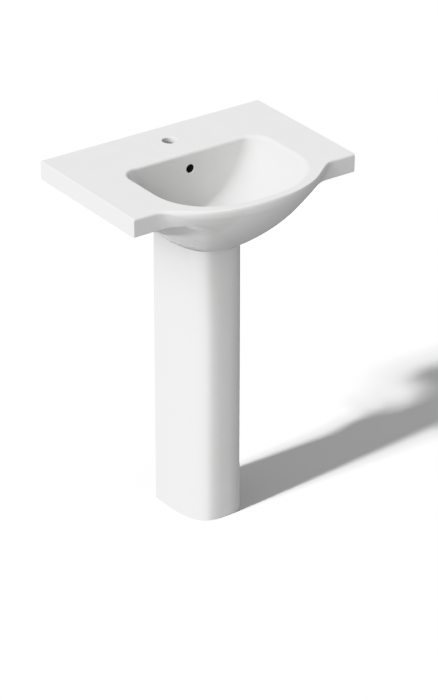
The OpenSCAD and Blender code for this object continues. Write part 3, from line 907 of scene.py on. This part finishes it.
def make_drain_body():
    z, r = FLANGE_Z, FLANGE_R
    edge = rounded([(DRAIN_R, z), (r - 0.8, z), (r, z + 0.5), (r, z + 1.1), (r - 2, z + 2.1), (r - 7, z + 3),
                    (r - 11, z + 2.7), (THROAT_R + 1.5, z + 1.4), (THROAT_R, z - 1.4)],
                   (0, 0.4, 0.4, 0.5, 1.5, 2.5, 1.5, 2, 0), 4, closed=False)
    outside = [(DRAIN_R - 1.2, DRAIN_BOTTOM)] + rows(DRAIN_R, DRAIN_BOTTOM + 1, z - 4, PITCH)
    inside = [(THROAT_R, h) for h in np.linspace(z - 8, DRAIN_BOTTOM + 0.6, 12)]
    profile = np.vstack([outside, edge, inside, [(THROAT_R + 0.6, DRAIN_BOTTOM)]])
    cut = thread(DRAIN_R, DRAIN_BOTTOM + 1, z - 4, PITCH, 1.1)
    body = turned("drain_body_metal", profile, shape=cut)
    hub = rounded([(0.1, BRIDGE_Z), (7.5, BRIDGE_Z), (7.5, BRIDGE_Z + 8), (0.2, BRIDGE_Z + 8)],
                  (0, 0.8, 0.8, 0), 3, closed=False)
    hub = turned("hub", hub, "chrome", 48)
    spokes = [spin(block("spoke", (-THROAT_R - 1, -1.5, BRIDGE_Z + 1), (THROAT_R + 1, 1.5, BRIDGE_Z + 7), 0.8,
                         "chrome"), q) for q in (45, 135)]
    combine(body, [hub] + spokes, "UNION")
    windows = [spin(block("window", (-DRAIN_R - 2, -7, BOWL_Z - 21), (DRAIN_R + 2, 7, BOWL_Z - 9), 2.2,
                          "chrome"), q) for q in (0, 90)]
    bore = rod(3, BRIDGE_Z - 3, BRIDGE_Z + 12, "chrome", 32)
    combine(body, windows + [bore], "DIFFERENCE")
    finish_mesh(body, 32, merge=0.01)
    return body


def washer(name, outer, inner, low, high, slot, radius=0.6, at=(0, 0)):
    corners = [(outer, low), (outer, high), (inner, high), (inner, low)]
    return turned(name, rounded(corners, radius), slot, at=at)


def make_locknut():
    top = UNDER_Z - 14.5
    low = top - 12
    corners = [(28.2, low), (30, low + 1), (30, top - 3.4), (30, top - 3), (31.6, top - 2.8), (32, top - 2.4),
               (32, top - 0.5), (31.5, top), (22.4, top), (21.1, top - 1), (21.1, low + 1), (22.4, low)]
    return turned("drain_locknut_brass", corners, "brass", shape=polygonal(8, 30, top - 3.2), sharp=20)


def make_tailpiece():
    low, z = INLET_TOP - 30, DRAIN_BOTTOM
    corners = [(TUBE_R, low), (TUBE_R, z - 10), (TUBE_R, z - 6), (DRAIN_R, z - 6), (DRAIN_R, z),
               (THROAT_R - 0.1, z), (THROAT_R - 0.1, z + 18), (TUBE_R - TUBE_T, z + 18),
               (TUBE_R - TUBE_T, low)]
    profile = rounded(corners, (0.5, 0, 1.2, 0.8, 0.6, 0.2, 0.5, 0.4, 0.4), 4)
    return turned("tailpiece_tube", profile)


def make_cap():
    z = CAP_Z
    r = 20.5
    dome = [(r * math.cos(q), z + 1.6 + 3.2 * math.sin(q)) for q in spread(0, 89.4, 28)]
    under = [(0.1, z + 0.6), (r - 4, z + 0.6), (r - 3.6, z + 0.1), (r - 1.2, z + 0.02), (r - 0.4, z + 0.25),
             (r, z + 0.8)]
    return turned("stopper_cap_metal", under + dome, "chrome", 128)


def make_plunger():
    low, high = box_mm("stopper_plunger")
    z0, z1, r = low[2], high[2], 4
    corners = [(0.1, z0), (r - 0.8, z0), (r, z0 + 0.8), (r, z0 + 3), (r - 0.6, z0 + 3.4), (r - 0.6, z0 + 4.6),
               (r, z0 + 5), (r, z1 - 6), (r - 0.5, z1 - 5.6), (r - 0.5, z1 - 0.2), (0.1, z1 - 0.1)]
    return turned("stopper_plunger_brass", corners, "brass", 48)


def make_cartridge():
    low, high = LATCH_Z, LATCH_Z + 31
    corners = [(3.1, low), (8.2, low), (9, low + 0.6), (9, low + 2.4), (8.3, low + 3), (7, low + 3.1),
               (7, low + 5), (6.6, low + 5.3), (6.6, low + 6.2), (7, low + 6.5), (7, high - 5),
               (6.5, high - 4.6), (6.5, high - 3), (7, high - 2.6), (7, high - 0.6), (6.4, high),
               (4.5, high), (4.1, high - 0.4), (4.1, LATCH_FLOOR), (3.1, LATCH_FLOOR)]
    return turned("latch_cartridge_brass", corners, "brass", shape=polygonal(6, 9, low + 3.05), sharp=20)


def make_spring():
    low, high = box_mm("latch_spring")
    wire, coil, turns, steps, sides = 0.4, 3.2, 7, 28, 12
    rings = []
    for i in range(turns * steps + 1):
        q = 2 * math.pi * i / steps
        share = i / (turns * steps)
        share -= 0.175 / turns * math.sin(2 * math.pi * share)  # the end turns lie closer together
        z = mix(low[2] + wire + 0.02, high[2] - wire - 0.02, share)
        s = full_turn(sides)
        r = coil + wire * np.cos(s)
        rings.append(np.column_stack([r * math.cos(q), r * math.sin(q), z + wire * np.sin(s)]))
    return loft("latch_spring_wire", rings, "steel", sharp=60)


def make_cartridge_screw():
    z = BRIDGE_Z
    shank = thread(2.9, z + 0.5, z + 9.5, 1, 0.45)
    head = [(0.1, z - 4), (2.5, z - 3.9), (4.2, z - 3.2), (5.2, z - 1.8), (5.5, z - 0.3), (5.4, z), (2.9, z)]
    profile = head + rows(2.9, z + 0.3, z + 9.6, 1) + [(2.3, z + 10.4), (0.1, z + 10.5)]
    screw = turned("cartridge_screw_steel", profile, "steel", 48, shape=shank)
    slots = [spin(block("slot", (-3, -0.5, z - 6), (3, 0.5, z - 1.8), 0.2, "steel"), q) for q in (0, 90)]
    combine(screw, slots, "DIFFERENCE")
    finish_mesh(screw, 35)
    return screw


# -------- trap

TUBE_R, TUBE_T, SOCKET_R, BEND_R = 15.9, 1.3, 19.3, 42
OUTLET_Z = top_z - 380
INLET_TOP, BEND_Z, OUTLET_TOP = OUTLET_Z + 20, OUTLET_Z - 95, OUTLET_Z - 65
ARM_LOW = OUTLET_TOP - 18
BEND_LOW = BEND_Z - BEND_R - TUBE_R


def make_slip_nut(name, top, y):
    """A ribbed union nut whose crown closes down on the tube above it."""
    low, lugs = top - 13, 8

    def shape(r, z, angles):
        if r < 23:
            return round_ring(r, z, angles)
        wave = np.abs((angles * lugs / (2 * math.pi) + 0.5) % 1 - 0.5) * 2 * math.pi * 24 / lugs
        lug = 1 - smoothstep(wave, 2.0, 3.6)
        height = smoothstep(z, low + 1.5, low + 4) * (1 - smoothstep(z, low + 15.5, low + 18.5))
        return r + 1.45 * lug * height

    side = [(23.5, z) for z in np.linspace(low + 1, low + 18.6, 16)]
    profile = [(19.6, low), (22.9, low)] + side
    profile += [(22.8, low + 19.5), (21, low + 20), (17, low + 20), (16.05, low + 19.3),
                (16.05, low + 17.2), (19.45, low + 16.8), (19.45, low + 1)]
    return turned(name, profile, "chrome", 144, at=(0, y), shape=shape, sharp=30)


def make_slip_washer(name, low, y):
    corners = [(SOCKET_R - 0.3, low), (SOCKET_R - 0.3, low + 1.2), (17.4, low + 4), (16, low + 4), (16, low)]
    return turned(name, rounded(corners, 0.5, 3), "rubber", at=(0, y))


def down_then_round(radius):
    return [(BEND_R * (1 - math.cos(q)), BEND_Z - BEND_R * math.sin(q), math.degrees(q) - 90, radius)
            for q in spread(0, 180, 49)]


def make_trap_bend():
    far = 2 * BEND_R
    socket, mouth = SOCKET_R, TUBE_R + 0.1
    top, low = INLET_TOP, INLET_TOP - 34
    outside = [(0, top, -90, socket - 0.7), (0, top - 0.8, -90, socket)]
    outside += [(0, z, -90, socket) for z in np.linspace(top - 1.2, top - 20, 56)]
    outside += [(0, z, -90, r) for z, r in ((low + 2.5, socket), (low + 1, socket - 0.5), (low, socket - 1.8),
                                            (low - 1.5, TUBE_R + 0.4), (low - 3.5, TUBE_R))]
    outside += [(0, z, -90, TUBE_R) for z in np.linspace(low - 10, BEND_Z + 4, 10)]
    outside += down_then_round(TUBE_R)
    outside += [(far, z, 90, r) for z, r in ((BEND_Z + 0.6, TUBE_R + 0.3), (BEND_Z + 1.4, TUBE_R + 1.6),
                                             (BEND_Z + 2.4, socket - 0.5), (BEND_Z + 3.6, socket))]
    outside += [(far, z, 90, socket) for z in np.linspace(OUTLET_TOP - 20, OUTLET_TOP - 1.2, 56)]
    outside += [(far, OUTLET_TOP - 0.8, 90, socket), (far, OUTLET_TOP, 90, socket - 0.7)]
    bore = TUBE_R - TUBE_T
    inside = [(0, top, -90, mouth + 0.6), (0, top - 0.8, -90, mouth), (0, low + 3.4, -90, mouth),
              (0, low + 3, -90, bore)]
    inside += [(0, z, -90, bore) for z in np.linspace(low, BEND_Z + 4, 10)]
    inside += down_then_round(bore)
    inside += [(far, z, 90, r) for z, r in ((ARM_LOW - 2.4, bore), (ARM_LOW - 2, mouth),
                                            (OUTLET_TOP - 0.8, mouth), (OUTLET_TOP, mouth + 0.6))]
    first = thread(socket, top - 20, top - 1.2, PITCH, 0.9)
    second = thread(socket, OUTLET_TOP - 20, OUTLET_TOP - 1.2, PITCH, 0.9)

    def shape(r, z, angles):
        return (first if z > top - 25 else second)(r, z, angles)

    trap = swept("trap_bend_tube", outside, inside, shape=shape)
    z = BEND_LOW - 6
    boss = [(0.1, z), (11.4, z), (12, z + 0.6), (12, z + 12), (0.1, z + 12)]
    combine(trap, [turned("boss", boss, "chrome", 64, at=(0, BEND_R))], "UNION")
    combine(trap, [rod(8, z - 2, z + 14, "chrome", 64, at=(0, BEND_R))], "DIFFERENCE")
    finish_mesh(trap, 32, merge=0.01)
    return trap


def make_trap_arm():
    y, elbow_z, end = 2 * BEND_R, OUTLET_Z - BEND_R, box_mm("trap_arm")[1][1]

    def stations(r, trim):
        path = [(y, ARM_LOW, 90, r + trim), (y, ARM_LOW + 0.5, 90, r)]
        path += [(y, z, 90, r) for z in np.linspace(ARM_LOW + 4, elbow_z - 3, 6)]
        path += [(y + BEND_R * (1 - math.cos(q)), elbow_z + BEND_R * math.sin(q), 90 - math.degrees(q), r)
                 for q in spread(0, 90, 31)]
        path += [(h, OUTLET_Z, 0, r) for h in np.linspace(y + BEND_R + 4, end - 4, 10)]
        return path + [(end - 0.5, OUTLET_Z, 0, r), (end, OUTLET_Z, 0, r + trim)]

    return swept("trap_arm_tube", stations(TUBE_R, -0.4), stations(TUBE_R - TUBE_T, 0.3))


def make_cleanout_plug():
    z = BEND_LOW - 8
    shape = polygonal(6, 11, z - 0.02, thread(7.9, z + 0.2, z + 7.6, 1.4, 0.6))
    corners = [(0.1, z - 5), (9.4, z - 5), (11, z - 4.1), (11, z - 0.9), (9.6, z - 0.05), (7.9, z)]
    profile = corners + rows(7.9, z + 0.2, z + 7.6, 1.4) + [(7.2, z + 8), (0.1, z + 8)]
    return turned("cleanout_plug_metal", profile, at=(0, BEND_R), shape=shape, sharp=20)


# -------- wall fixings


def make_wall_bolt(name, side):
    """A hanger bolt: a coarse wood thread for the wall and a machine thread for the nut."""
    length, in_wall = 99, 55
    fine = thread(5, in_wall + 7, length - 1.2, 1.5, 0.8)

    def shape(r, z, angles):
        if z > in_wall - 4 or r < 0.5:
            return fine(r, z, angles)
        wave = np.abs((z / 4.4 - angles / (2 * math.pi)) % 1 * 2 - 1)
        crest = np.clip(1 - wave * 3.2, 0, 1) * min(1, (in_wall - 4 - z) / 4)
        return r + 1.15 * crest * min(1, z / 8)

    profile = [(0.1, 0)] + [(0.4 + 3.1 * min(1, z / 9), z) for z in np.linspace(0.4, in_wall - 4, 120)]
    profile += [(3.7, in_wall - 3), (4.6, in_wall - 2), (4.6, in_wall + 4), (5, in_wall + 5)]
    profile += rows(5, in_wall + 7, length - 1.2, 1.5)
    profile += [(4.2, length), (0.1, length)]
    bolt = turned(name, profile, "steel", 32, shape=shape)
    return turn_to_wall(bolt, (BOLT_X * side, wall_y + in_wall, BOLT_Z))


def ring_on_bolt(outer, inner, height, start, slot, radius):
    """Makes a washer on a wall bolt that starts that far in front of the wall."""

    def make(name, side):
        piece = washer(name, outer, inner, 0, height, slot, radius)
        return turn_to_wall(piece, (BOLT_X * side, wall_y - start, BOLT_Z))

    return make


def make_wall_nut(name, side):
    corners = [(8.2, 0), (9.8, 0.9), (9.8, 7.1), (8.2, 8), (5.7, 8), (5.1, 7.3), (5.1, 0.7), (5.7, 0)]
    piece = turned(name, corners, "steel", shape=polygonal(6, 9.8), sharp=20)
    start = PLATE_T + CUSHION_T + WASHER_T
    return turn_to_wall(piece, (BOLT_X * side, wall_y - start, BOLT_Z))


# -------- the scene


def add_floor():
    """A wide pale floor. It neither lights the object from below nor shows in its gloss."""
    angles = full_turn(64)
    rings = [np.column_stack([r * np.cos(angles), r * np.sin(angles), np.zeros(64)])
             for r in (5, 1000, 5000, 60000)]
    faces = grid_faces(4, 64) + [tuple(range(64))]
    floor = add_mesh("floor", np.concatenate(rings), faces, "china", smooth=False)
    floor.data.materials.clear()
    floor.data.materials.append(floor_material())
    floor.visible_diffuse = False
    floor.visible_glossy = False
    return floor


def soften_highlights():
    """Rolls the brightest tones off gently, as a photograph does."""
    view = bpy.context.scene.view_settings
    view.view_transform = "Standard"
    view.use_curve_mapping = True
    view.curve_mapping.use_clip = True
    view.curve_mapping.clip_max_x = view.curve_mapping.clip_max_y = BRIGHTEST
    curve = view.curve_mapping.curves[3]  # the one for all three channels
    curve.points[1].location = (BRIGHTEST, 1)
    for place in TONES:
        curve.points.new(*place)
    view.curve_mapping.update()


add_camera()
floor = add_floor()
add_light("floor_sun", FLOOR_SUN, floor, True)
key = add_light("key", KEY, floor, False)
key.visible_glossy = False  # its reflection would show in the bowl as a hot spot
add_light("fill", FILL, floor, False)
add_world()
soften_highlights()

put(make_basin(), "basin")
put(make_pedestal(), "pedestal")
put(make_pads(), "bearing_pads")
put(make_drain_body(), "drain_body")
put(washer("flange_seal_rubber", FLANGE_R - 2, DRAIN_R + 1, BOWL_Z, FLANGE_Z, "rubber", 0.5), "flange_seal")
put(turned("tapered_gasket_rubber", rounded(
    [(DRAIN_R + 0.1, UNDER_Z - 12), (35, UNDER_Z - 12), (35, UNDER_Z - 8), (29, UNDER_Z),
     (DRAIN_R + 0.1, UNDER_Z)], (0.5, 1.2, 1.5, 1.5, 0.5), 5), "rubber"), "tapered_gasket")
put(washer("friction_washer_nylon", 35, DRAIN_R + 0.1, UNDER_Z - 14.5, UNDER_Z - 12, "nylon", 0.5),
    "friction_washer")
put(make_locknut(), "drain_locknut")
put(make_tailpiece(), "tailpiece")
put(make_cap(), "stopper_cap", "stopper")
put(turned("stopper_seal_rubber", rounded(
    [(16.9, CAP_Z - 1.2), (16.9, CAP_Z - 0.6), (15.2, CAP_Z), (4.1, CAP_Z), (4.1, CAP_Z - 2.5),
     (14.2, CAP_Z - 2.5)], (0.4, 0.4, 0.6, 0.2, 0.4, 0.8), 4), "rubber"), "stopper_seal", "stopper")
put(make_plunger(), "stopper_plunger", "stopper")
put(make_cartridge(), "latch_cartridge")
spring = put(make_spring(), "latch_spring")
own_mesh(spring)
put(make_cartridge_screw(), "cartridge_screw")
put(make_slip_nut("trap_inlet_nut_metal", INLET_TOP, 0), "trap_inlet_nut")
put(make_slip_washer("trap_inlet_washer_rubber", INLET_TOP, 0), "trap_inlet_washer")
put(make_trap_bend(), "trap_bend")
put(make_slip_nut("trap_outlet_nut_metal", OUTLET_TOP, 2 * BEND_R), "trap_outlet_nut")
put(make_slip_washer("trap_outlet_washer_rubber", OUTLET_TOP, 2 * BEND_R), "trap_outlet_washer")
put(make_trap_arm(), "trap_arm")
put(make_cleanout_plug(), "cleanout_plug")
put(washer("cleanout_washer_rubber", 11.5, 8, BEND_LOW - 8, BEND_LOW - 6, "rubber", 0.6, at=(0, BEND_R)),
    "cleanout_washer")
put(on_both_sides("wall_bolts_steel", make_wall_bolt), "wall_bolts")
cushion = ring_on_bolt(17, 5.1, CUSHION_T, PLATE_T, "rubber", 1)
put(on_both_sides("cushion_washers_rubber", cushion), "cushion_washers")
steel_washer = ring_on_bolt(15, 5.1, WASHER_T, PLATE_T + CUSHION_T, "steel", 0.4)
put(on_both_sides("steel_washers_steel", steel_washer), "steel_washers")
put(on_both_sides("wall_nuts_steel", make_wall_nut), "wall_nuts")

for subpart in frame["record"]["subparts"]:
    node = frame["nodes"][subpart["node"]]
    node.data.materials.clear()
    node.data.materials.append(MATERIALS[subpart["material_slot"]])
